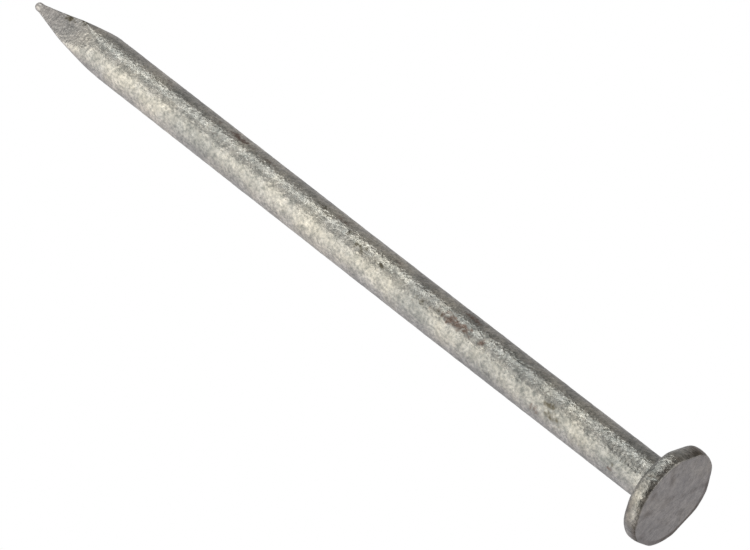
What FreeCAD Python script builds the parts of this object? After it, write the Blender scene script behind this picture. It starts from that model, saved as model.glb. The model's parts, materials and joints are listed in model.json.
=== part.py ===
import FreeCAD, Part
import math
import os

import Sketcher

# Galvanised round plain head nail, 75 x 3.75 mm.
#
# The nail lies along X with its head at +X and its point at -X. The origin is on the shank's axis,
# in the plane of the head's bearing face, where the head meets the timber.
#
# It is two pieces: the steel nail, forged from one length of wire, and the closed zinc skin that
# the hot dip leaves all over it. Both have the same outline. The zinc's is larger by its thickness.

SIZES = (
    # alias, value in mm, degrees or pieces, and what it measures
    ("nail_length", "75", "bearing face of the head to the tip, over the zinc"),
    ("zinc_thickness", "0.07", "the dipped coat on flats and on the shank"),
    ("shank_diameter", "3.71", "the drawn wire at the point's end, nominally 3.75"),
    ("shank_swell", "0.01", "growth of the wire's radius from there to the head, from the heading blow"),
    ("head_diameter", "8.82", "the upset head"),
    ("head_thickness", "1.42", "bearing face to striking face"),
    ("rim_front_radius", "0.16", "edge between the rim and the striking face"),
    ("rim_back_radius", "0.58", "edge between the rim and the bearing face"),
    ("rim_flat_depth", "0.2", "depth of the flat that the trimming die leaves on the rim"),
    ("rim_flat_roll", "-160", "the way that flat faces, turned about X from +Z"),
    ("neck_radius", "0.23", "hollow corner between the shank and the head"),
    ("tip_radius", "0.28", "blunt end of the point"),
    ("nose_half_angle", "30", "cone that takes the corners off the end of the point"),
    ("facet_angle", "11.4", "each of the point's facets to the axis"),
    ("facet_count", "4", "facets of the diamond point"),
    ("die_roll", "32", "the closing direction of the dies, turned about X from +Z"),
    ("grip_count", "9", "marks in a row under the head, on two sides"),
    ("grip_pitch", "0.4", "from mark to mark"),
    ("grip_start", "1.2", "bearing face to the middle of the first mark"),
    ("grip_depth", "0.14", "depth of a mark in the steel"),
    ("grip_half_angle", "40", "flank of a mark to its centre plane"),
    ("overshoot", "0.5", "how far the cutting outlines reach past the wire"),
)

STEEL_DENSITY = 7.85e-3  # g per mm3
ZINC_DENSITY = 7.14e-3


def make_sheet(doc):
    """The spreadsheet that every size is bound to."""
    sheet = doc.addObject("Spreadsheet::Sheet", "Sizes")
    for row, (alias, value, meaning) in enumerate(SIZES, start=1):
        sheet.set(f"A{row}", alias)
        sheet.set(f"B{row}", value)
        sheet.setAlias(f"B{row}", alias)
        sheet.set(f"C{row}", meaning)
    doc.recompute()
    return sheet


def origin_feature(body, role):
    """One of the body's own origin planes or axes."""
    return next(f for f in body.Origin.OriginFeatures if f.Role == role)


def new_sketch(body, name, roll=None):
    """A sketch on the body's XZ plane, with X along the nail, rolled about X by a cell if named."""
    sketch = body.newObject("Sketcher::SketchObject", f"{body.Name}_{name}")
    sketch.AttachmentSupport = [(origin_feature(body, "XZ_Plane"), "")]
    sketch.MapMode = "FlatFace"
    if roll:
        about_the_shank = FreeCAD.Rotation(FreeCAD.Vector(1, 0, 0), 1)
        sketch.AttachmentOffset = FreeCAD.Placement(FreeCAD.Vector(0, 0, 0), about_the_shank)
        sketch.setExpression("AttachmentOffset.Rotation.Angle", f"Sizes.{roll}")
    return sketch


def tie(sketch, name, expression, *constraint):
    """Adds a dimension to the sketch and binds it to the sheet."""
    index = sketch.addConstraint(Sketcher.Constraint(*constraint))
    sketch.renameConstraint(index, name)
    sketch.setExpression(f"Constraints.{name}", expression)


def line(start, end):
    return Part.LineSegment(FreeCAD.Vector(*start, 0), FreeCAD.Vector(*end, 0))


def arc(centre, radius, start, end):
    """An arc that runs anticlockwise from start to end, both in degrees."""
    circle = Part.Circle(FreeCAD.Vector(*centre, 0), FreeCAD.Vector(0, 0, 1), radius)
    return Part.ArcOfCircle(circle, math.radians(start), math.radians(end))


def make_outline(body, sheet, skin, skin_size):
    """Half of the blank's section: round the tip, along the shank and round the head.

    skin is the thickness of zinc that the outline carries, and skin_size is the same as an
    expression. The steel's shank swells towards the head. The zinc levels that out, thicker by the
    point, which drains last.
    """
    sketch = new_sketch(body, "outline")
    zinc = sheet.zinc_thickness
    tip_r = sheet.tip_radius + skin
    neck_r = sheet.neck_radius + skin
    back_r = sheet.rim_back_radius + skin
    front_r = sheet.rim_front_radius + skin
    shank_r = sheet.shank_diameter / 2 + skin
    neck_end_r = shank_r + (0 if skin else sheet.shank_swell)
    head_r = sheet.head_diameter / 2 + skin
    bearing_x = zinc - skin
    face_x = zinc + sheet.head_thickness + skin
    tip_x = zinc - skin - sheet.nail_length
    nose = math.radians(sheet.nose_half_angle)
    nose_start = (tip_x + tip_r * (1 - math.sin(nose)), tip_r * math.cos(nose))
    nose_end = (nose_start[0] + (shank_r - nose_start[1]) / math.tan(nose), shank_r)

    sketch.addGeometry(
        [
            arc((tip_x + tip_r, 0), tip_r, 90 + sheet.nose_half_angle, 180),
            line(nose_start, nose_end),
            line(nose_end, (bearing_x - neck_r, neck_end_r)),
            arc((bearing_x - neck_r, neck_end_r + neck_r), neck_r, 270, 360),
            line((bearing_x, neck_end_r + neck_r), (bearing_x, head_r - back_r)),
            arc((bearing_x + back_r, head_r - back_r), back_r, 90, 180),
            line((bearing_x + back_r, head_r), (face_x - front_r, head_r)),
            arc((face_x - front_r, head_r - front_r), front_r, 0, 90),
            line((face_x, head_r - front_r), (face_x, 0)),
            line((face_x, 0), (tip_x, 0)),
        ],
        False,
    )
    tip, cone, shank, neck, bearing, back, rim, front, face, axis = range(10)
    first, second, centre = 1, 2, 3
    root, x_axis = -1, -1
    joins = (
        ("Tangent", tip, first, cone, first),
        ("Coincident", cone, second, shank, first),
        ("Tangent", shank, second, neck, first),
        ("Tangent", neck, second, bearing, first),
        ("Tangent", bearing, second, back, second),
        ("Tangent", back, first, rim, first),
        ("Tangent", rim, second, front, second),
        ("Tangent", front, first, face, first),
        ("Coincident", face, second, axis, first),
        ("Coincident", axis, second, tip, second),
        ("Horizontal", rim),
        ("Horizontal", axis),
        ("Vertical", bearing),
        ("Vertical", face),
        ("PointOnObject", axis, first, x_axis),
        ("PointOnObject", tip, centre, x_axis),
    )
    for join in joins:
        sketch.addConstraint(Sketcher.Constraint(*join))
    tie(sketch, "TipRadius", f"Sizes.tip_radius + {skin_size}", "Radius", tip, tip_r)
    tie(sketch, "NeckRadius", f"Sizes.neck_radius + {skin_size}", "Radius", neck, neck_r)
    tie(sketch, "BackRadius", f"Sizes.rim_back_radius + {skin_size}", "Radius", back, back_r)
    tie(sketch, "FrontRadius", f"Sizes.rim_front_radius + {skin_size}", "Radius", front, front_r)
    tie(sketch, "NoseAngle", "Sizes.nose_half_angle * 1 deg", "Angle", cone, nose)
    tie(
        sketch, "ShankRadius", f"Sizes.shank_diameter / 2 + {skin_size}",
        "DistanceY", root, first, shank, first, shank_r,
    )
    if skin:
        sketch.addConstraint(Sketcher.Constraint("Horizontal", shank))
    else:
        tie(
            sketch, "NeckEndRadius", "Sizes.shank_diameter / 2 + Sizes.shank_swell",
            "DistanceY", root, first, shank, second, neck_end_r,
        )
    tie(
        sketch, "HeadRadius", f"Sizes.head_diameter / 2 + {skin_size}",
        "DistanceY", root, first, rim, first, head_r,
    )
    tie(
        sketch, "HeadThickness", f"Sizes.head_thickness + 2 * {skin_size}",
        "DistanceX", bearing, first, face, first, face_x - bearing_x,
    )
    tie(
        sketch, "FacePlace", f"Sizes.zinc_thickness + Sizes.head_thickness + {skin_size}",
        "DistanceX", root, first, face, first, face_x,
    )
    tie(
        sketch, "TipPlace", f"Sizes.nail_length - Sizes.zinc_thickness + {skin_size}",
        "DistanceX", tip, second, root, first, -tip_x,
    )
    return sketch


def make_facet_outline(body, sheet, skin, skin_size):
    """The wedge that one cutting die takes off the wire: its long side is the facet."""
    sketch = new_sketch(body, "facet_outline", roll="die_roll")
    tip_r = sheet.tip_radius + skin
    top = sheet.shank_diameter / 2 + skin + sheet.overshoot
    slope = math.radians(sheet.facet_angle)
    centre_x = sheet.zinc_thickness + sheet.tip_radius - sheet.nail_length
    rise = tip_r / math.cos(slope)
    low_x = centre_x - tip_r - sheet.overshoot
    low = (low_x, rise + (low_x - centre_x) * math.tan(slope))
    high = (centre_x + (top - rise) / math.tan(slope), top)

    sketch.addGeometry([line(low, high), line(high, (low_x, top)), line((low_x, top), low)], False)
    sketch.addGeometry(Part.Point(FreeCAD.Vector(centre_x, 0, 0)), True)
    facet, lid, end, tip_centre = range(4)
    first, second = 1, 2
    root, x_axis = -1, -1
    joins = (
        ("Coincident", facet, second, lid, first),
        ("Coincident", lid, second, end, first),
        ("Coincident", end, second, facet, first),
        ("Horizontal", lid),
        ("Vertical", end),
        ("PointOnObject", tip_centre, first, x_axis),
    )
    for join in joins:
        sketch.addConstraint(Sketcher.Constraint(*join))
    tie(sketch, "FacetAngle", "Sizes.facet_angle * 1 deg", "Angle", facet, slope)
    tie(
        sketch, "TipCentre", "Sizes.nail_length - Sizes.zinc_thickness - Sizes.tip_radius",
        "DistanceX", tip_centre, first, root, first, -centre_x,
    )
    tie(
        sketch, "TipRadius", f"Sizes.tip_radius + {skin_size}",
        "Distance", tip_centre, first, facet, tip_r,
    )
    tie(
        sketch, "PastTheTip", f"Sizes.tip_radius + {skin_size} + Sizes.overshoot",
        "DistanceX", end, first, tip_centre, first, tip_r + sheet.overshoot,
    )
    tie(
        sketch, "Top", f"Sizes.shank_diameter / 2 + {skin_size} + Sizes.overshoot",
        "DistanceY", root, first, end, first, top,
    )
    return sketch


def make_grip_outline(body, sheet, skin, skin_size):
    """One pair of gripper marks, a notch on each side of the wire. The zinc half fills them."""
    sketch = new_sketch(body, "grip_outline", roll="die_roll")
    floor = sheet.shank_diameter / 2 - sheet.grip_depth + 2 * skin
    top = sheet.shank_diameter / 2 + skin + sheet.overshoot
    half_width = (top - floor) * math.tan(math.radians(sheet.grip_half_angle))
    x = -sheet.grip_start

    for side in (1, -1):
        left = (x - half_width, side * top)
        right = (x + half_width, side * top)
        deep = (x, side * floor)
        sketch.addGeometry([line(left, deep), line(deep, right), line(right, left)], False)
    left_flank, right_flank, lid = range(3)
    below = 3
    first, second = 1, 2
    root, x_axis = -1, -1
    joins = []
    for notch in (0, below):
        joins += [
            ("Coincident", notch + left_flank, second, notch + right_flank, first),
            ("Coincident", notch + right_flank, second, notch + lid, first),
            ("Coincident", notch + lid, second, notch + left_flank, first),
        ]
    for edge in (left_flank, right_flank, lid):
        joins.append(("Symmetric", edge, first, below + edge, first, x_axis))
    joins.append(("Horizontal", lid))
    joins.append(("Equal", left_flank, right_flank))
    for join in joins:
        sketch.addConstraint(Sketcher.Constraint(*join))
    tie(
        sketch, "FlankAngle", "90 deg - Sizes.grip_half_angle * 1 deg",
        "Angle", right_flank, math.radians(90 - sheet.grip_half_angle),
    )
    tie(
        sketch, "Floor", f"Sizes.shank_diameter / 2 - Sizes.grip_depth + 2 * {skin_size}",
        "DistanceY", root, first, right_flank, first, floor,
    )
    tie(
        sketch, "Top", f"Sizes.shank_diameter / 2 + {skin_size} + Sizes.overshoot",
        "DistanceY", root, first, lid, first, top,
    )
    tie(
        sketch, "Start", "Sizes.grip_start",
        "DistanceX", right_flank, first, root, first, sheet.grip_start,
    )
    return sketch


def make_rim_flat_outline(body, sheet, skin, skin_size):
    """A block across the head's rim: its inner side is the flat."""
    sketch = new_sketch(body, "rim_flat_outline", roll="rim_flat_roll")
    low = sheet.head_diameter / 2 + skin - sheet.rim_flat_depth
    high = sheet.head_diameter / 2 + skin + sheet.overshoot
    back_x = -sheet.overshoot
    front_x = sheet.head_thickness + 2 * sheet.zinc_thickness + sheet.overshoot
    corners = ((back_x, low), (front_x, low), (front_x, high), (back_x, high))

    sides = len(corners)
    sketch.addGeometry([line(corners[i], corners[(i + 1) % sides]) for i in range(sides)], False)
    flat, front, top, behind = range(sides)
    first, second = 1, 2
    root = -1
    joins = [("Coincident", i, second, (i + 1) % sides, first) for i in range(sides)]
    joins += [("Horizontal", flat), ("Horizontal", top), ("Vertical", front), ("Vertical", behind)]
    for join in joins:
        sketch.addConstraint(Sketcher.Constraint(*join))
    tie(
        sketch, "Flat", f"Sizes.head_diameter / 2 + {skin_size} - Sizes.rim_flat_depth",
        "DistanceY", root, first, flat, first, low,
    )
    tie(
        sketch, "Top", f"Sizes.head_diameter / 2 + {skin_size} + Sizes.overshoot",
        "DistanceY", root, first, top, first, high,
    )
    tie(
        sketch, "Behind", "Sizes.overshoot",
        "DistanceX", flat, first, root, first, -back_x,
    )
    tie(
        sketch, "Front", "Sizes.head_thickness + 2 * Sizes.zinc_thickness + Sizes.overshoot",
        "DistanceX", root, first, flat, second, front_x,
    )
    return sketch


def cut_through(body, sketch, name):
    """Cuts the sketch's outline right through the body, both ways from the sketch."""
    pocket = body.newObject("PartDesign::Pocket", f"{body.Name}_{name}")
    pocket.Profile = sketch
    pocket.SideType = "Symmetric"
    pocket.Type = "ThroughAll"
    return pocket


def make_nail(doc, sheet, name, skin, skin_size):
    """One nail: revolved blank, flat on the rim, facets of the point, rows of gripper marks."""
    body = doc.addObject("PartDesign::Body", name)
    body.Label = name

    blank = body.newObject("PartDesign::Revolution", f"{name}_blank")
    blank.Profile = make_outline(body, sheet, skin, skin_size)
    blank.ReferenceAxis = (blank.Profile[0], ["H_Axis"])
    blank.Angle = 360
    doc.recompute()

    rim_flat = cut_through(body, make_rim_flat_outline(body, sheet, skin, skin_size), "rim_flat")
    doc.recompute()

    facet = cut_through(body, make_facet_outline(body, sheet, skin, skin_size), "facet")
    doc.recompute()
    point = body.newObject("PartDesign::PolarPattern", f"{name}_point")
    point.Originals = [facet]
    point.Axis = (origin_feature(body, "X_Axis"), [""])
    point.Angle = 360
    point.setExpression("Occurrences", "Sizes.facet_count")
    body.Tip = point
    doc.recompute()

    mark = cut_through(body, make_grip_outline(body, sheet, skin, skin_size), "grip_mark")
    doc.recompute()
    marks = body.newObject("PartDesign::LinearPattern", f"{name}_grip_marks")
    marks.Originals = [mark]
    marks.Direction = (origin_feature(body, "X_Axis"), [""])
    marks.Reversed = True
    marks.setExpression("Length", "(Sizes.grip_count - 1) * Sizes.grip_pitch")
    marks.setExpression("Occurrences", "Sizes.grip_count")
    body.Tip = marks
    doc.recompute()

    features = (blank, rim_flat, facet, point, mark, marks)
    for before, after in zip(features, features[1:]):
        if not after.Shape.Volume < before.Shape.Volume:
            raise RuntimeError(f"{after.Name} cut nothing")
    return body


def check(doc, pieces):
    """Stops if a feature failed, or a piece isn't one sound solid."""
    for item in doc.Objects:
        if "Invalid" in item.State or "Error" in item.State:
            raise RuntimeError(f"{item.Name} failed: {item.State}")
        if item.TypeId == "Sketcher::SketchObject" and item.solve() != 0:
            raise RuntimeError(f"{item.Name} doesn't solve")
    for piece in pieces:
        shape = piece.Shape
        if shape.isNull() or not shape.isValid() or len(shape.Solids) != 1:
            raise RuntimeError(f"{piece.Label} isn't one valid solid")


def main():
    doc = FreeCAD.newDocument("nail")
    sheet = make_sheet(doc)

    steel = make_nail(doc, sheet, "steel_nail", 0, "0")
    envelope = make_nail(doc, sheet, "zinc_surface", sheet.zinc_thickness, "Sizes.zinc_thickness")
    coating = doc.addObject("Part::Cut", "zinc_coating")
    coating.Label = "zinc_coating"
    coating.Base = envelope
    coating.Tool = steel
    doc.recompute()

    check(doc, (steel, coating))
    os.makedirs("parts", exist_ok=True)
    for piece, density in ((steel, STEEL_DENSITY), (coating, ZINC_DENSITY)):
        piece.Shape.exportStep(f"parts/{piece.Label}.step")
        volume = piece.Shape.Volume
        box = piece.Shape.optimalBoundingBox()
        print(f"{piece.Label}: {volume:.2f} mm3, {volume * density:.2f} g, {box}")


main()
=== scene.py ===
import json
import math

import bpy
import numpy as np
from mathutils import Matrix, Vector, noise


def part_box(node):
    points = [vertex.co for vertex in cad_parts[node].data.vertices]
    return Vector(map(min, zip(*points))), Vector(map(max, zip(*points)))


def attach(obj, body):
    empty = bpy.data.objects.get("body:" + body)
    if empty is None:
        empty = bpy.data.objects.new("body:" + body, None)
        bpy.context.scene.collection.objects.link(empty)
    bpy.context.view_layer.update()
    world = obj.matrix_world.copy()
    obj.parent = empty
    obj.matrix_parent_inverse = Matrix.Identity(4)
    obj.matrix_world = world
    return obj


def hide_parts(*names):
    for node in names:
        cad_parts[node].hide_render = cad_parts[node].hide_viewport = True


# A hot-dip galvanised round head nail. The design gives the sizes; this script adds the zinc's
# lumps and stains, the softened point and the uneven rim, and sets the studio and the camera.
#
# The nail lies along X with its head at +X. Lengths are in millimetres until a mesh or a light is
# made, and a roll is an angle about X, counted from +Y toward +Z.

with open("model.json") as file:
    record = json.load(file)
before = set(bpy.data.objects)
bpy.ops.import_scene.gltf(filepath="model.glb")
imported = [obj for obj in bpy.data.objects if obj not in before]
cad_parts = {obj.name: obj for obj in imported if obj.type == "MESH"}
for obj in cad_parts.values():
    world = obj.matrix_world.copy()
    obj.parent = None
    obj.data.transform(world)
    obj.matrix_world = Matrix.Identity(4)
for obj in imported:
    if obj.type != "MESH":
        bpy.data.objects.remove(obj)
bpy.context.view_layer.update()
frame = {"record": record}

MM = 0.001

# ---- sizes taken from the design -------------------------------------------------------------

record_mounts = {mount["name"]: mount for mount in frame["record"]["mounts"]}
zinc_low, zinc_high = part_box("zinc_coating")
_, steel_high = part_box("steel_nail")

TIP_X = zinc_low.x / MM
FACE_X = zinc_high.x / MM
HEAD_R = zinc_high.y / MM
SHANK_R = record_mounts["shank"]["dims"]["r_mm"]
ZINC_THICKNESS = (zinc_high.y - steel_high.y) / MM

# ---- shape of the nail's outline -------------------------------------------------------------

TIP_R = 0.41
NECK_R = 0.38
RIM_BACK_R = 0.65
RIM_FRONT_R = 0.12
FACET_ANGLE = 11.4
FACET_START_R = 0.295
FACET_ROLL = 122

# A cone takes the facets' corners off toward the tip, and a small blob of zinc thickens the tip.
NOSE_HALF_ANGLE = 30
NOSE_SOFTNESS = 0.12
BLOB_LENGTH = 0.25
BLOB_TAPER = 0.35
BLOB_SOFTNESS = 0.10

# The facets run out into the shank over a soft shoulder, which is crisper on its upper side and
# has died out well before SHOULDER_END_X.
SHOULDER_SOFTNESS = 0.32
SHOULDER_CRISPER = 0.22
SHOULDER_END_X = -40

# ---- how the real nail strays from it --------------------------------------------------------

POINT_LEAN = 0.165
POINT_LEAN_ROLL = 212
POINT_LENGTH = 9.0
POINT_BEND = 1.9
BOW = 0.05
BOW_X = -30
BOW_LENGTH = 20
HEAD_LEAN = 0.18
HEAD_LEAN_ROLL = 245

RIM_FLATS = (
    # roll, share of the radius it cuts off
    (-140, 0.026),
    (-70, 0.047),
    (-12, 0.030),
    (65, 0.045),
    (165, 0.022),
)
RIM_FLAT_REACH = 60
RIM_FLAT_SOFTNESS = 0.02

# The rim is drawn in toward its front edge, more on one side, and from further back at the notch.
EDGE_X = 1.05
EDGE_DEPTH = 0.10
EDGE_UNEVEN = 0.09
EDGE_ROLL = 110
EDGE_CURVE = 1.3
EDGE_AT_NOTCH = 0.35
EDGE_AT_NOTCH_WIDTH = 0.28

# A notch slants across the rim, with a curl of zinc beside its front end.
NOTCH_X = 0.8
NOTCH_ROLL = 117
NOTCH_DEPTH = 0.13
NOTCH_SLANT = 0.46
NOTCH_LENGTH = 0.28
NOTCH_WIDTH = 0.13
CURL_HEIGHT = 0.10
CURL_FORWARD = 0.30
CURL_ASIDE = 0.31
CURL_LENGTH = 0.35
CURL_WIDTH = 0.11
BEAD_HEIGHT = 0.03
BEAD_LENGTH = 0.5

# The heading dies leave a row of marks on two sides, under the head.
GRIP_COUNT = 9
GRIP_PITCH = 0.4
GRIP_START = -1.2
GRIP_ROLLS = (122, 302)
GRIP_DEPTH = 0.07
GRIP_MARK_LENGTH = 0.10
GRIP_MARK_WIDTH = 0.45
GRIP_REACH = 1

# The zinc's lumps come in three sizes, and are lower in a thin layer at the striking face.
LUMPS = (
    # lumps to the millimetre, their height, where their noise starts
    (0.7, 0.014, (0, 0, 0)),
    (2.1, 0.009, (31, 7, 3)),
    (4.2, 0.008, (5, 43, 11)),
)
FACE_LUMPS = 0.6
FACE_LAYER = 0.05

# ---- how finely it is meshed -----------------------------------------------------------------

CELL = 0.11
TIP_CELL = 0.06
CORNER_CELL = 0.07
HEAD_RING = 240
SMALLEST_RING = 15
FULL_RING_R = 2.0


def smooth_min(a, b, softness):
    """The smaller of two radii, with the corner between them rounded off over softness."""
    closeness = np.maximum(softness - np.abs(a - b), 0) / softness
    return np.minimum(a, b) - closeness * closeness * softness / 4


def bump(distance, width):
    """1 at no distance, falling smoothly to 0 a few widths away."""
    return np.exp(-(distance / width) ** 2)


def angle_between(roll, other):
    """The signed angle from one roll to another, in degrees."""
    return (roll - other + 180) % 360 - 180


# ---- the outline, from the tip to the middle of the striking face ----------------------------


def line_stations(start, end, normal):
    """Evenly spaced stations (x, radius, normal x, normal radius) along a line, without its end."""
    count = max(1, round(math.dist(start, end) / CELL))
    along_x = end[0] - start[0]
    along_r = end[1] - start[1]
    return [
        (start[0] + along_x * i / count, start[1] + along_r * i / count, *normal)
        for i in range(count)
    ]


def arc_stations(centre, radius, start, end, outward=1, cell=CELL):
    """Evenly spaced stations along an arc, without its end. Angles are from +X toward the radius."""
    count = max(2, round(radius * abs(math.radians(end - start)) / cell))
    stations = []
    for i in range(count):
        angle = math.radians(start + (end - start) * i / count)
        stations.append((
            centre[0] + radius * math.cos(angle),
            centre[1] + radius * math.sin(angle),
            outward * math.cos(angle),
            outward * math.sin(angle),
        ))
    return stations


def outline_stations(skin):
    """The whole outline, drawn skin inside the zinc's outer surface."""
    slope = math.radians(FACET_ANGLE)
    tip_centre = TIP_X + TIP_R
    tip_r = TIP_R - skin
    shank_r = SHANK_R - skin
    neck_r = NECK_R
    back_r = RIM_BACK_R - skin
    front_r = RIM_FRONT_R - skin
    head_r = HEAD_R - skin
    bearing_x = skin
    face_x = FACE_X - skin
    facet_start = (tip_centre - tip_r * math.sin(slope), tip_r * math.cos(slope))
    facet_end = (facet_start[0] + (shank_r - facet_start[1]) / math.tan(slope), shank_r)
    neck_start = (bearing_x - neck_r, shank_r)
    bearing_start = (bearing_x, shank_r + neck_r)
    bearing_end = (bearing_x, head_r - back_r)
    rim_start = (bearing_x + back_r, head_r)
    rim_end = (face_x - front_r, head_r)
    face_start = (face_x, head_r - front_r)
    return (
        arc_stations((tip_centre, 0), tip_r, 180, 90 + FACET_ANGLE, cell=TIP_CELL)
        + line_stations(facet_start, facet_end, (-math.sin(slope), math.cos(slope)))
        + line_stations(facet_end, neck_start, (0, 1))
        + arc_stations((neck_start[0], shank_r + neck_r), neck_r, 270, 360, outward=-1, cell=CORNER_CELL)
        + line_stations(bearing_start, bearing_end, (-1, 0))
        + arc_stations((rim_start[0], bearing_end[1]), back_r, 180, 90)
        + line_stations(rim_start, rim_end, (0, 1))
        + arc_stations((rim_end[0], face_start[1]), front_r, 90, 0, cell=CORNER_CELL)
        + line_stations(face_start, (face_x, 0), (1, 0))
        + [(face_x, 0, 1, 0)]
    )


# ---- what departs from the plain outline -----------------------------------------------------


def within_unit(value):
    """The value, kept from 0 to 1."""
    return min(1.0, max(0.0, value))


def point_radius(x, roll, skin):
    """Radius of the diamond point at a place along it: four facets, their corners and the shank."""
    past_tip = x - (TIP_X + TIP_R)
    facet_r = FACET_START_R - skin + past_tip * math.tan(math.radians(FACET_ANGLE))
    from_facet = (roll - FACET_ROLL + 45) % 90 - 45
    flat = facet_r / np.cos(np.radians(from_facet))
    nose = TIP_R - skin + past_tip * math.tan(math.radians(NOSE_HALF_ANGLE))
    pointed = smooth_min(flat, nose, NOSE_SOFTNESS)
    blob = TIP_R - skin - max(0.0, past_tip - BLOB_LENGTH) * BLOB_TAPER
    pointed = -smooth_min(-pointed, -blob * np.ones_like(roll), BLOB_SOFTNESS)
    upper = 0.5 + 0.5 * np.cos(np.radians(angle_between(roll, POINT_LEAN_ROLL + 180)))
    return smooth_min(pointed, SHANK_R - skin, SHOULDER_SOFTNESS - SHOULDER_CRISPER * upper)


def lean(x, radius):
    """How far the nail's middle line strays along Y and Z: its point, its bow and its head."""
    point = POINT_LEAN * within_unit(POINT_BEND * (TIP_X + POINT_LENGTH - x) / POINT_LENGTH)
    bow = BOW * bump(x - BOW_X, BOW_LENGTH)
    head = 0.0
    if x > -NECK_R:
        head = HEAD_LEAN * within_unit((radius - SHANK_R) / (HEAD_R - SHANK_R))
    if x > RIM_BACK_R:
        head = HEAD_LEAN
    shank_roll = math.radians(POINT_LEAN_ROLL)
    head_roll = math.radians(HEAD_LEAN_ROLL)
    return (
        (point + bow) * math.cos(shank_roll) + head * math.cos(head_roll),
        (point + bow) * math.sin(shank_roll) + head * math.sin(head_roll),
    )


def on_face(x):
    """Whether a station is on the striking face."""
    return x > FACE_X - FACE_LAYER


def on_rim(radius):
    """Whether a station is on the head, outside the hollow corner under it."""
    return radius > SHANK_R + NECK_R


def from_notch(x, roll):
    """How far a place on the rim is from the notch, along X and across its slant."""
    past_notch = x - NOTCH_X
    across = np.radians(angle_between(roll, NOTCH_ROLL)) * HEAD_R
    return past_notch, across + NOTCH_SLANT * past_notch


def rim_radius(x, roll):
    """Share of the head's radius that is left at each roll, once the rim's flats and edge are cut."""
    share = np.ones_like(roll)
    for flat_roll, depth in RIM_FLATS:
        from_flat = np.clip(angle_between(roll, flat_roll), -RIM_FLAT_REACH, RIM_FLAT_REACH)
        share = smooth_min(share, (1 - depth) / np.cos(np.radians(from_flat)), RIM_FLAT_SOFTNESS)
    across = np.radians(angle_between(roll, NOTCH_ROLL)) * HEAD_R
    start = EDGE_X - EDGE_AT_NOTCH * bump(across, EDGE_AT_NOTCH_WIDTH)
    drawn_in = np.clip((x - start) / (FACE_X - start), 0, 1)
    depth = EDGE_DEPTH + EDGE_UNEVEN * np.cos(np.radians(roll - EDGE_ROLL))
    return share - depth * drawn_in ** EDGE_CURVE / HEAD_R


def lumps(place, x):
    """Height of the dipped zinc's lumps at one place, in millimetres."""
    height = 0.0
    for per_mm, size, start in LUMPS:
        height += size * noise.noise(place * per_mm + Vector(start))
    if on_face(x):
        height *= FACE_LUMPS
    return height


def rim_marks(x, roll):
    """Height of the rim's notch, of the curl of zinc beside it and of beads, in millimetres."""
    past_notch, across = from_notch(x, roll)
    notch = NOTCH_DEPTH * bump(past_notch, NOTCH_LENGTH) * bump(across, NOTCH_WIDTH)
    along_curl = bump(past_notch - CURL_FORWARD, CURL_LENGTH)
    curl = CURL_HEIGHT * along_curl * bump(across - CURL_ASIDE, CURL_WIDTH)
    beads = BEAD_HEIGHT * noise.noise(Vector((x * 1.6, roll * 0.06, 4)))
    return curl + beads * bump(past_notch, BEAD_LENGTH) - notch


def grip_marks(x, roll):
    """Height of the rows of marks that the heading dies leave under the head, in millimetres."""
    height = 0.0
    for grip_roll in GRIP_ROLLS:
        across = math.radians(angle_between(roll, grip_roll)) * SHANK_R
        if abs(across) > GRIP_REACH:
            continue
        for mark in range(GRIP_COUNT):
            along = x - (GRIP_START - GRIP_PITCH * mark)
            height -= GRIP_DEPTH * bump(along, GRIP_MARK_LENGTH) * bump(across, GRIP_MARK_WIDTH)
    return height


# ---- what marks the coat, and the shade and highlight painted on it --------------------------

# The names under which the mesh holds each vertex's marks, for the material to read: brown and olive
# stains, grimy patches with painted shade and a painted highlight on the head, how even the coat is, and
# painted shade toward the head.
MARKS = ("brown", "olive", "grime", "calm", "dull")

STAINS = (
    # x, roll, half its length, half its width, how dark, and 1 for olive or 0 for brown
    (-49.6, 72, 1.2, 0.30, 0.75, 0),
    (-46.0, 74, 0.6, 0.20, 0.60, 0),
    (-58.6, 66, 0.5, 0.20, 0.45, 0),
    (-52.8, 70, 0.5, 0.20, 0.40, 0),
    (-39.2, 80, 0.5, 0.20, 0.60, 1),
    (-37.2, 78, 0.7, 0.30, 0.55, 0),
    (-38.3, 92, 0.4, 0.15, 0.60, 1),
    (-35.4, 97, 0.3, 0.25, 0.55, 1),
    (-33.7, 109, 0.7, 0.28, 0.80, 1),
    (-31.4, 111, 0.4, 0.16, 0.90, 1),
    (-26.4, 119, 0.5, 0.22, 0.60, 1),
    (-26.0, 128, 0.3, 0.15, 0.50, 1),
    (-22.8, 112, 1.5, 0.36, 0.80, 0),
    (-21.6, 106, 0.6, 0.25, 0.70, 0),
    (-24.4, 117, 0.4, 0.20, 0.60, 1),
    (-21.9, 70, 0.8, 0.25, 0.75, 0),
    (-19.6, 110, 0.25, 0.30, 0.85, 0),
    (-30.4, 72, 0.4, 0.20, 0.45, 0),
    (-11.1, 132, 0.6, 0.35, 0.80, 1),
    (-12.4, 162, 0.35, 0.28, 0.70, 0),
    (-10.4, 150, 0.7, 0.25, 0.75, 1),
    (-3.7, 150, 0.20, 0.18, 0.85, 1),
    (-3.9, 166, 0.22, 0.15, 0.60, 0),
    (-74.9, 60, 0.5, 0.45, 0.60, 0),
    (-70.6, 80, 0.5, 0.50, 0.90, 1),
    (-68.9, 76, 0.4, 0.30, 0.75, 1),
    (-72.4, 96, 0.3, 0.15, 0.35, 1),
)
# A stain is full out to where STAIN_CORE has fallen to 1, then fades, with noise on its outline.
STAIN_REACH = 3
STAIN_CORE = 1.35
STAIN_FALL = 0.8

FACE_SPECKS = (
    # distance from the middle of the face, roll, half its width
    (2.4, -107, 0.28),
    (3.0, -149, 0.22),
    (3.4, -95, 0.15),
    (2.0, 30, 0.15),
)
SPECK_DEPTH = 0.35

# Darker bands round the rim: the one at roll 42 is painted shade, high on the +Y side; the one at roll
# 188 darkens the rim's -Y side.
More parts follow.
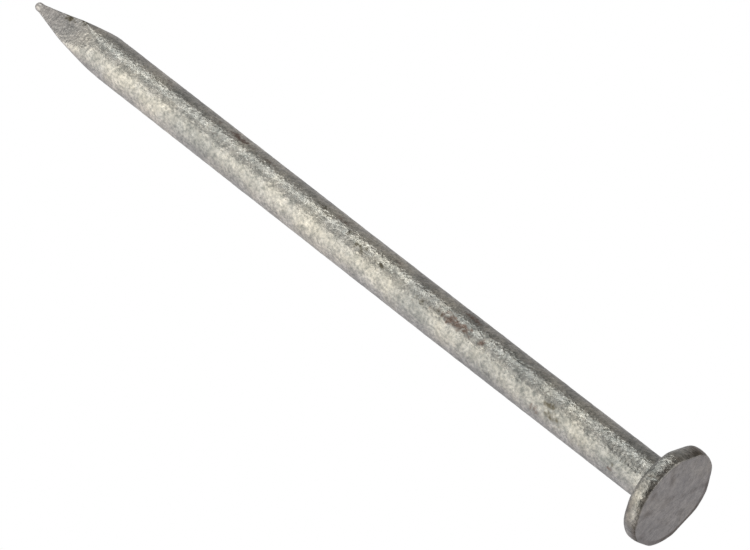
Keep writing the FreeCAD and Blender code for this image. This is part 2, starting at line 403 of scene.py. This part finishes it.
RIM_DARK_BANDS = (
    # roll, half the angle it spans, how dark
    (188, 42, 0.36),
    (42, 24, 0.45),
)
# Painted shade: a dark band along the rim's front edge, darkest toward roll 175.
FRONT_SHADE_X = 1.15
FRONT_SHADE_FADE = 0.12
FRONT_SHADE = 0.12
FRONT_SHADE_MORE = 0.30
FRONT_SHADE_ROLL = 175
FRONT_SHADE_REACH = 45
# Painted shade in the hollow corner under the head.
NECK_SHADE = 0.25
# Painted shade in the notch.
NOTCH_SHADE = 0.7
NOTCH_SHADE_LENGTH = 0.35
NOTCH_SHADE_WIDTH = 0.15
# Painted highlight: the curl of zinc beside the notch is made lighter.
CURL_HIGHLIGHT = 0.9
CURL_HIGHLIGHT_WIDTH = 0.10
PATCH_GRIME = 0.18
PATCH_GRIME_RANGE = 0.6

# Painted shade darkens the striking face's edge on the side away from the notch.
FAR_EDGE_WIDTH = 0.52
FAR_EDGE_ROLL = -70
FAR_EDGE_REACH = 60
FAR_EDGE_SHADE = 0.9

# Painted shade: the coat is darkened between these two places along X, toward the head, standing for the
# key light falling off there.
FALLOFF_SHADE_FROM_X = -38
FALLOFF_SHADE_TO_X = -16
POINT_CALM = 1.3


def stain(place, x, roll):
    """How deeply one place is stained brown and olive, each 0 to 1, by the patches above."""
    depths = [0.0, 0.0]
    if x > 0:
        return depths
    ragged = 0.9 * noise.noise(place * 2.6 + Vector((17, 2, 29))) + 0.5 * noise.noise(place * 6.0)
    for stain_x, stain_roll, half_length, half_width, dark, kind in STAINS:
        if abs(x - stain_x) > STAIN_REACH * half_length:
            continue
        across = math.radians(angle_between(roll, stain_roll)) * SHANK_R
        away = math.hypot((x - stain_x) / half_length, across / half_width)
        depth = dark * within_unit(STAIN_CORE - STAIN_FALL * away + ragged)
        depths[kind] = max(depths[kind], depth)
    return depths


def far_edge_shade(roll):
    """How much painted shade darkens the far side of the striking face's edge."""
    return FAR_EDGE_SHADE * bump(angle_between(roll, FAR_EDGE_ROLL), FAR_EDGE_REACH)


def face_grime_and_shade(place, radius, roll):
    """How dark one place on the striking face is: grimy faint patches and a few specks, and painted
    shade along the far edge.
    """
    depth = 0.9 * max(0.0, noise.noise(place * 1.1 + Vector((3, 9, 27))) - 0.10)
    turn = math.radians(roll)
    for speck_r, speck_roll, width in FACE_SPECKS:
        speck_turn = math.radians(speck_roll)
        across = radius * math.cos(turn) - speck_r * math.cos(speck_turn)
        along = radius * math.sin(turn) - speck_r * math.sin(speck_turn)
        depth += SPECK_DEPTH * bump(math.hypot(across, along), width)
    # Painted shade along the far side of the face's edge.
    if radius > HEAD_R - FAR_EDGE_WIDTH:
        depth += far_edge_shade(roll)
    return min(1.0, depth)


def grime(place, x, radius, roll):
    """How dark one place is made, 0 to 1, on the head and the corner under it only: grimy patches and
    specks, darker bands round the rim, painted shade along the rim's front edge, along the face's far
    edge, in the notch and in the corner under the head, and a painted highlight on the notch's curl.
    """
    if x < -NECK_R:
        return 0.0
    if on_face(x):
        return face_grime_and_shade(place, radius, roll)
    # Painted shade in the hollow corner under the head.
    if not on_rim(radius):
        return NECK_SHADE
    past_notch, across = from_notch(x, roll)
    depth = PATCH_GRIME + PATCH_GRIME_RANGE * noise.noise(Vector((x * 1.2, roll * 0.05, 11)))
    # Darker bands round the rim, one of them painted shade.
    for band_roll, reach, grimy in RIM_DARK_BANDS:
        depth += grimy * bump(angle_between(roll, band_roll), reach)
    # Painted shade along the rim's front edge.
    in_front = within_unit((x - FRONT_SHADE_X) / FRONT_SHADE_FADE)
    most = bump(angle_between(roll, FRONT_SHADE_ROLL), FRONT_SHADE_REACH)
    depth += in_front * (FRONT_SHADE + FRONT_SHADE_MORE * most)
    # Painted shade in the notch.
    depth += NOTCH_SHADE * bump(past_notch, NOTCH_SHADE_LENGTH) * bump(across, NOTCH_SHADE_WIDTH)
    # Painted shade along the far side of the face's edge.
    if x > FACE_X - RIM_FRONT_R:
        depth += far_edge_shade(roll)
    # Painted highlight on the curl of zinc beside the notch.
    along_curl = bump(past_notch - CURL_FORWARD, CURL_LENGTH)
    depth -= CURL_HIGHLIGHT * along_curl * bump(across - CURL_ASIDE, CURL_HIGHLIGHT_WIDTH)
    return within_unit(depth)


def falloff_shade_along(x):
    """How much painted shade darkens the coat along the shank, for the key light falling off toward the
    head: 0 near the point to 1 near the head.
    """
    along = within_unit((x - FALLOFF_SHADE_FROM_X) / (FALLOFF_SHADE_TO_X - FALLOFF_SHADE_FROM_X))
    return along * along * (3 - 2 * along)


def calmness(x):
    """How even the coat is, 0 to 1: all of the striking face, and more and more along the point."""
    if on_face(x):
        return 1.0
    return within_unit(POINT_CALM * (TIP_X + POINT_LENGTH - x) / POINT_LENGTH)


# ---- the mesh --------------------------------------------------------------------------------


def ring_count(radius):
    """Vertices in a ring: half as many each time the radius halves, so the cells stay square."""
    count = HEAD_RING
    limit = FULL_RING_R
    while radius < limit and count > SMALLEST_RING:
        count //= 2
        limit /= 2
    return count


def ring_points(station, skin, lumpy):
    """The points of one ring of the surface, in millimetres, and the marks on each one.

    The steel has no lumps of its own, but the notch and the grip marks are pressed into it too."""
    x, radius, normal_x, normal_r = station
    count = 1 if radius == 0 else ring_count(radius)
    roll = np.arange(count) * 360 / count
    r = np.full(count, float(radius))
    if TIP_X + TIP_R < x < SHOULDER_END_X:
        r = point_radius(x, roll, skin)
    if on_rim(radius) or x > FACE_X / 2:
        # The rim's unevenness fades out toward the middle of the face and of the underside.
        hold = min(1.0, radius / HEAD_R)
        r = r * (1 + hold * hold * (rim_radius(x, roll) - 1))
    turn = np.radians(roll)
    middle_y, middle_z = lean(x, radius)
    points, marks = [], []
    for j in range(count):
        cos, sin = math.cos(turn[j]), math.sin(turn[j])
        place = Vector((x, middle_y + r[j] * cos, middle_z + r[j] * sin))
        normal = Vector((normal_x, normal_r * cos, normal_r * sin))
        height = 0.0
        if 0 < x < FACE_X and on_rim(radius):
            height = rim_marks(x, roll[j])
        elif GRIP_START - GRIP_PITCH * GRIP_COUNT < x < 0:
            height = grip_marks(x, roll[j])
        if lumpy:
            height += lumps(place, x)
            # Grimy patches and painted shade on the head, with a painted highlight on the notch's curl.
            dirt_and_shade = grime(place, x, radius, roll[j])
            marks.append((*stain(place, x, roll[j]), dirt_and_shade, calmness(x), falloff_shade_along(x)))
        else:
            height = min(0.0, height)
        points.append(place + normal * height)
    return points, marks


def stitch(faces, a, a_count, b, b_count):
    """Faces between two rings that start at vertices a and b. A ring may have twice the other's."""
    if a_count == 1:
        faces.extend((a, b + (j + 1) % b_count, b + j) for j in range(b_count))
    elif b_count == 1:
        faces.extend((a + j, a + (j + 1) % a_count, b) for j in range(a_count))
    elif a_count == b_count:
        for j in range(a_count):
            k = (j + 1) % a_count
            faces.append((a + j, a + k, b + k, b + j))
    elif b_count == 2 * a_count:
        for j in range(a_count):
            k = (j + 1) % a_count
            left, middle, right = b + 2 * j, b + 2 * j + 1, b + (2 * j + 2) % b_count
            faces.extend(((a + j, middle, left), (a + j, a + k, middle), (a + k, right, middle)))
    else:
        for j in range(b_count):
            k = (j + 1) % b_count
            left, middle, right = a + 2 * j, a + 2 * j + 1, a + (2 * j + 2) % a_count
            faces.extend(((left, middle, b + j), (middle, b + k, b + j), (middle, right, b + k)))


def nail_mesh(name, skin, lumpy, every=1):
    """A closed surface round the nail, skin inside the zinc's outer surface.

    Only every so many of the outline's stations get a ring."""
    stations = outline_stations(skin)
    kept = stations[::every]
    if kept[-1] is not stations[-1]:
        kept.append(stations[-1])
    vertices, faces, marks = [], [], []
    last, last_count = 0, 0
    for station in kept:
        points, ring_marks = ring_points(station, skin, lumpy)
        marks.extend(ring_marks)
        first = len(vertices)
        vertices.extend(points)
        if last_count:
            stitch(faces, last, last_count, first, len(points))
        last, last_count = first, len(points)
    mesh = bpy.data.meshes.new(name)
    mesh.from_pydata([tuple(v * MM) for v in vertices], [], faces)
    mesh.polygons.foreach_set("use_smooth", [True] * len(mesh.polygons))
    if lumpy:
        for mark, values in zip(MARKS, zip(*marks)):
            mesh.attributes.new(mark, "FLOAT", "POINT").data.foreach_set("value", values)
    mesh.update()
    piece = bpy.data.objects.new(name, mesh)
    bpy.context.scene.collection.objects.link(piece)
    return piece


# ---- materials -------------------------------------------------------------------------------

NOISE_LOW = 0.3
NOISE_HIGH = 0.7
PATCH_DEPTH = 1.7


def new_material(name):
    """A node material and its nodes, with the Principled shader ready."""
    material = bpy.data.materials.new(name)
    material.use_nodes = True
    return material, material.node_tree, material.node_tree.nodes["Principled BSDF"]


def add_noise(tree, coordinates, per_mm, detail, distortion=0.0):
    """A noise texture with about per_mm features to the millimetre."""
    node = tree.nodes.new("ShaderNodeTexNoise")
    node.inputs["Scale"].default_value = per_mm / MM
    node.inputs["Detail"].default_value = detail
    node.inputs["Distortion"].default_value = distortion
    tree.links.new(coordinates, node.inputs["Vector"])
    return node


def add_ramp(tree, source, stops):
    """A colour ramp through (place, colour) stops."""
    node = tree.nodes.new("ShaderNodeValToRGB")
    elements = node.color_ramp.elements
    elements[0].position, elements[0].color = stops[0][0], (*stops[0][1], 1)
    elements[1].position, elements[1].color = stops[-1][0], (*stops[-1][1], 1)
    for place, colour in stops[1:-1]:
        elements.new(place).color = (*colour, 1)
    tree.links.new(source, node.inputs["Fac"])
    return node


def add_range(tree, source, low, high):
    """Maps a noise's usual range onto low to high."""
    node = tree.nodes.new("ShaderNodeMapRange")
    node.inputs["From Min"].default_value = NOISE_LOW
    node.inputs["From Max"].default_value = NOISE_HIGH
    node.inputs["To Min"].default_value = low
    node.inputs["To Max"].default_value = high
    tree.links.new(source, node.inputs["Value"])
    return node


def add_mix(tree, blend, factor, first, second):
    """Mixes two colours. A colour or factor may be a socket or a plain value."""
    node = tree.nodes.new("ShaderNodeMix")
    node.data_type = "RGBA"
    node.blend_type = blend
    factor_in, first_in, second_in = node.inputs[0], node.inputs[6], node.inputs[7]
    for socket, value in ((factor_in, factor), (first_in, first), (second_in, second)):
        if isinstance(value, bpy.types.NodeSocket):
            tree.links.new(value, socket)
        else:
            socket.default_value = value
    return node.outputs[2]


def add_attribute(tree, name):
    """A number stored on the mesh's vertices."""
    node = tree.nodes.new("ShaderNodeAttribute")
    node.attribute_name = name
    return node.outputs["Fac"]


def add_scaled(tree, source, factor, offset):
    """A value times a factor, plus an offset."""
    node = tree.nodes.new("ShaderNodeMath")
    node.operation = "MULTIPLY_ADD"
    tree.links.new(source, node.inputs[0])
    node.inputs[1].default_value = factor
    node.inputs[2].default_value = offset
    return node.outputs["Value"]


def add_patches(tree, place, mark, colour, under):
    """Lays a colour over the one under it where a mark is deep, with edges that noise breaks up."""
    ragged = add_noise(tree, place, per_mm=3.4, detail=4)
    gaps = add_range(tree, ragged.outputs["Fac"], 0.15, -0.95)
    cover = tree.nodes.new("ShaderNodeMath")
    cover.operation = "MULTIPLY_ADD"
    cover.use_clamp = True
    tree.links.new(add_attribute(tree, mark), cover.inputs[0])
    cover.inputs[1].default_value = PATCH_DEPTH
    tree.links.new(gaps.outputs["Result"], cover.inputs[2])
    return add_mix(tree, "MIX", cover.outputs["Value"], under, (*colour, 1))


def make_zinc():
    """Weathered hot-dip zinc: mottled grey, part shiny and part matt, with brown and olive stains, grimy
    patches and painted shade on the head, and painted shade toward the head.
    """
    material, tree, shader = new_material("galvanised_zinc")
    place = tree.nodes.new("ShaderNodeTexCoord").outputs["Object"]
    mottle = add_noise(tree, place, per_mm=1.3, detail=8, distortion=0.3)
    colour = add_ramp(tree, mottle.outputs["Fac"], (
        (0.28, (0.42, 0.42, 0.40)),
        (0.50, (0.57, 0.56, 0.53)),
        (0.72, (0.70, 0.69, 0.66)),
    )).outputs["Color"]
    broad = add_noise(tree, place, per_mm=0.30, detail=2)
    cast = add_ramp(tree, broad.outputs["Fac"], (
        (0.32, (0.81, 0.83, 0.83)),
        (0.50, (1.00, 1.00, 0.98)),
        (0.68, (1.16, 1.14, 1.07)),
    )).outputs["Color"]
    colour = add_mix(tree, "MULTIPLY", 1.0, colour, cast)
    speckle = add_noise(tree, place, per_mm=3.6, detail=3)
    specks = add_ramp(tree, speckle.outputs["Fac"], (
        (0.30, (0.64, 0.66, 0.66)),
        (0.50, (1.00, 1.00, 0.99)),
        (0.70, (1.30, 1.28, 1.24)),
    )).outputs["Color"]
    colour = add_mix(tree, "MULTIPLY", 1.0, colour, specks)
    # Painted shade: the colour darkens toward the head, for the key light falling off there.
    colour = add_mix(tree, "MULTIPLY", add_attribute(tree, "dull"), colour, (0.84, 0.85, 0.86, 1))
    calm = add_attribute(tree, "calm")
    evened = add_scaled(tree, calm, factor=0.45, offset=0.0)
    colour = add_mix(tree, "MIX", evened, colour, (0.57, 0.54, 0.55, 1))
    # Grimy patches, and painted shade along the head's edges, in the notch and in the corner under the
    # head, darken the colour; a painted highlight lightens the notch's curl.
    colour = add_mix(tree, "MULTIPLY", add_attribute(tree, "grime"), colour, (0.40, 0.36, 0.33, 1))
    colour = add_patches(tree, place, "brown", (0.24, 0.18, 0.15), colour)
    colour = add_patches(tree, place, "olive", (0.17, 0.155, 0.115), colour)
    tree.links.new(colour, shader.inputs["Base Color"])
    sheen = add_noise(tree, place, per_mm=1.6, detail=4)
    rough = add_range(tree, sheen.outputs["Fac"], 0.18, 0.36)
    tree.links.new(rough.outputs["Result"], shader.inputs["Roughness"])
    shader.inputs["Metallic"].default_value = 0.8
    grain = add_noise(tree, place, per_mm=3.8, detail=3)
    relief = tree.nodes.new("ShaderNodeBump")
    strength = add_scaled(tree, calm, factor=-0.6, offset=1.0)
    tree.links.new(strength, relief.inputs["Strength"])
    relief.inputs["Distance"].default_value = 0.08 * MM
    tree.links.new(grain.outputs["Fac"], relief.inputs["Height"])
    tree.links.new(relief.outputs["Normal"], shader.inputs["Normal"])
    return material


def make_steel():
    """Bright drawn wire, with fine lines along its length."""
    material, tree, shader = new_material("drawn_steel")
    place = tree.nodes.new("ShaderNodeTexCoord").outputs["Object"]
    stretch = tree.nodes.new("ShaderNodeMapping")
    stretch.inputs["Scale"].default_value = (0.02, 1, 1)
    tree.links.new(place, stretch.inputs["Vector"])
    lines = add_noise(tree, stretch.outputs["Vector"], per_mm=6, detail=4)
    colour = add_ramp(tree, lines.outputs["Fac"], (
        (0.3, (0.30, 0.28, 0.26)),
        (0.7, (0.42, 0.40, 0.38)),
    ))
    tree.links.new(colour.outputs["Color"], shader.inputs["Base Color"])
    shader.inputs["Metallic"].default_value = 1.0
    shader.inputs["Roughness"].default_value = 0.35
    return material


# ---- the two pieces --------------------------------------------------------------------------

zinc_skin = nail_mesh("zinc_skin", 0.0, lumpy=True)
zinc_skin.data.materials.append(make_zinc())
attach(zinc_skin, "root")
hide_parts("zinc_coating")

steel_core = nail_mesh("steel_core", ZINC_THICKNESS, lumpy=False, every=2)
steel_core.data.materials.append(make_steel())
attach(steel_core, "root")
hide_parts("steel_nail")

# ---- camera ----------------------------------------------------------------------------------

CAMERA_AZIMUTH = 46.33
CAMERA_ELEVATION = 48.05
CAMERA_DISTANCE = 399.8
CAMERA_AIM = Vector((-32.22, -0.48, -0.42))
CAMERA_LENS = 233.04


def direction(azimuth, elevation):
    """Unit vector toward a place on the sky. Azimuth 0 is -Y and 90 is +X."""
    a, e = math.radians(azimuth), math.radians(elevation)
    return Vector((math.sin(a) * math.cos(e), -math.cos(a) * math.cos(e), math.sin(e)))


def make_camera():
    """The camera, level and looking down at the nail from beyond its head."""
    data = bpy.data.cameras.new("camera")
    data.sensor_width = 36
    data.lens = CAMERA_LENS
    data.clip_start = 0.01
    data.clip_end = 10
    camera = bpy.data.objects.new("camera", data)
    back = direction(CAMERA_AZIMUTH, CAMERA_ELEVATION)
    right = Vector((0, 0, 1)).cross(back).normalized()
    up = back.cross(right)
    place = (CAMERA_AIM + back * CAMERA_DISTANCE) * MM
    camera.matrix_world = Matrix((
        (right.x, up.x, back.x, place.x),
        (right.y, up.y, back.y, place.y),
        (right.z, up.z, back.z, place.z),
        (0, 0, 0, 1),
    ))
    bpy.context.scene.collection.objects.link(camera)
    bpy.context.scene.camera = camera


make_camera()

# ---- studio ----------------------------------------------------------------------------------


def make_white():
    """Plain white that needs no light on it, as an evenly lit sweep looks."""
    material = bpy.data.materials.new("studio_white")
    material.use_nodes = True
    tree = material.node_tree
    tree.nodes.clear()
    glow = tree.nodes.new("ShaderNodeEmission")
    glow.inputs["Color"].default_value = (1, 1, 1, 1)
    glow.inputs["Strength"].default_value = 1.0
    out = tree.nodes.new("ShaderNodeOutputMaterial")
    tree.links.new(glow.outputs["Emission"], out.inputs["Surface"])
    return material


FLOOR_SIZE = 3.0
BACKDROP_R = 1.4
LUMP_ROOM = 0.05


def make_stage():
    """A white floor just under the head's rim and the point's shoulder, and a white backdrop.

    They are seen only by the camera, so all the light comes from the studio."""
    white = make_white()
    bpy.ops.mesh.primitive_plane_add(size=FLOOR_SIZE)
    floor = bpy.context.object
    floor.name = "floor"
    under_head = Vector((FACE_X, 0, -(HEAD_R + HEAD_LEAN + LUMP_ROOM)))
    under_shank = Vector((TIP_X + POINT_LENGTH, 0, -(SHANK_R + BOW + LUMP_ROOM)))
    rise = (under_shank - under_head).normalized()
    floor.rotation_euler = (0, math.atan2(rise.z, -rise.x), 0)
    floor.location = under_head * MM
    bpy.ops.mesh.primitive_uv_sphere_add(segments=64, ring_count=32, radius=BACKDROP_R)
    backdrop = bpy.context.object
    backdrop.name = "backdrop"
    for piece in (floor, backdrop):
        piece.data.materials.append(white)
        piece.visible_glossy = False
        piece.visible_diffuse = False
        piece.visible_shadow = False


STRIP_DISTANCE = 500
STRIP_NEAR_X = 12
STRIP_FAR_X = -780
FILL_WAY = Vector((0.85, 0.35, 0.25))
FILL_DISTANCE = 700
FILL_SIZE = 800
FILL_BRIGHTNESS = 0.6
ROOM_SLOPE = (-0.5, 0.0, -0.85)
ROOM = (
    # how far along ROOM_SLOPE a direction points, from 0 to 1, and the room's colour there
    (0.00, (0.09, 0.08, 0.075)),
    (0.25, (0.125, 0.11, 0.10)),
    (0.38, (0.24, 0.23, 0.22)),
    (0.50, (0.305, 0.29, 0.28)),
    (0.70, (0.41, 0.395, 0.405)),
    (1.00, (0.43, 0.42, 0.43)),
)

COOL = (0.98, 1.00, 0.99)
WHITE = (1.00, 1.00, 1.00)
WARM = (1.00, 0.98, 0.93)
PINK = (1.00, 0.95, 0.96)
VIOLET = (0.94, 0.87, 1.00)

# The key light is a bank of strips that dims evenly, degree by degree, from its high end to its low
# one, until only what comes back up from the table is left.
KEY_ANGLE = 140
KEY_BRIGHTNESS = 1.2
KEY_FALL = 0.0105
LEAST_BRIGHTNESS = 0.19
KEY_STRIPS = (
    # name, its angle round the nail, the angle it spans, colour
    ("key_high", KEY_ANGLE, 28, WARM),
    ("key", 166, 24, WARM),
    ("key_low", 192, 28, WARM),
    ("table", 220, 28, PINK),
    ("under", 252, 36, VIOLET),
)
OVERHEAD_BRIGHTNESS = 1.9
GAP_BRIGHTNESS = 0.35


def add_softbox(name, place, side, up, width, height, brightness, colour):
    """A softbox with its width along side and its height along up, brightness bright all over.

    It shines away from their cross product."""
    back = side.cross(up)
    data = bpy.data.lights.new(name, "AREA")
    data.shape = "RECTANGLE"
    data.size = width * MM
    data.size_y = height * MM
    data.energy = brightness * math.pi * data.size * data.size_y
    data.color = colour
    light = bpy.data.objects.new(name, data)
    light.matrix_world = Matrix((
        (side.x, up.x, back.x, place.x * MM),
        (side.y, up.y, back.y, place.y * MM),
        (side.z, up.z, back.z, place.z * MM),
        (0, 0, 0, 1),
    ))
    bpy.context.scene.collection.objects.link(light)


def add_strip(name, angle, spread, brightness, colour):
    """A long softbox parallel to the nail, at an angle about it, and spread degrees wide from there.

    It hangs to the tip's side, where the nail mirrors it toward the camera."""
    turn = math.radians(angle)
    away = Vector((0, math.cos(turn), math.sin(turn)))
    side = Vector((1, 0, 0))
    place = Vector(((STRIP_NEAR_X + STRIP_FAR_X) / 2, 0, 0)) + away * STRIP_DISTANCE
    length = STRIP_NEAR_X - STRIP_FAR_X
    height = 2 * STRIP_DISTANCE * math.tan(math.radians(spread / 2))
    add_softbox(name, place, side, away.cross(side), length, height, brightness, colour)


def add_fill():
    """A big softbox beyond the head, for the views from the front and from behind."""
    away = FILL_WAY.normalized()
    side = Vector((0, 0, 1)).cross(away).normalized()
    up = away.cross(side)
    add_softbox("fill", away * FILL_DISTANCE, side, up, FILL_SIZE, FILL_SIZE, FILL_BRIGHTNESS, WHITE)


def make_studio():
    """Long softboxes round the nail, a fill, and a room that is dim above and paler below."""
    add_strip("overhead", 75, 18, OVERHEAD_BRIGHTNESS, COOL)
    add_strip("gap", 107, 36, GAP_BRIGHTNESS, WHITE)
    for name, angle, spread, colour in KEY_STRIPS:
        brightness = max(LEAST_BRIGHTNESS, KEY_BRIGHTNESS - KEY_FALL * (angle - KEY_ANGLE))
        add_strip(name, angle, spread, brightness, colour)
    add_fill()
    world = bpy.data.worlds.new("room")
    bpy.context.scene.world = world
    world.use_nodes = True
    tree = world.node_tree
    toward = tree.nodes.new("ShaderNodeTexCoord").outputs["Generated"]
    along = tree.nodes.new("ShaderNodeVectorMath")
    along.operation = "DOT_PRODUCT"
    along.inputs[1].default_value = ROOM_SLOPE
    tree.links.new(toward, along.inputs[0])
    scale = tree.nodes.new("ShaderNodeMapRange")
    scale.inputs["From Min"].default_value = -1.0
    tree.links.new(along.outputs["Value"], scale.inputs["Value"])
    glow = add_ramp(tree, scale.outputs["Result"], ROOM)
    tree.links.new(glow.outputs["Color"], tree.nodes["Background"].inputs["Color"])
    bpy.context.scene.view_settings.view_transform = "Standard"


make_stage()
make_studio()
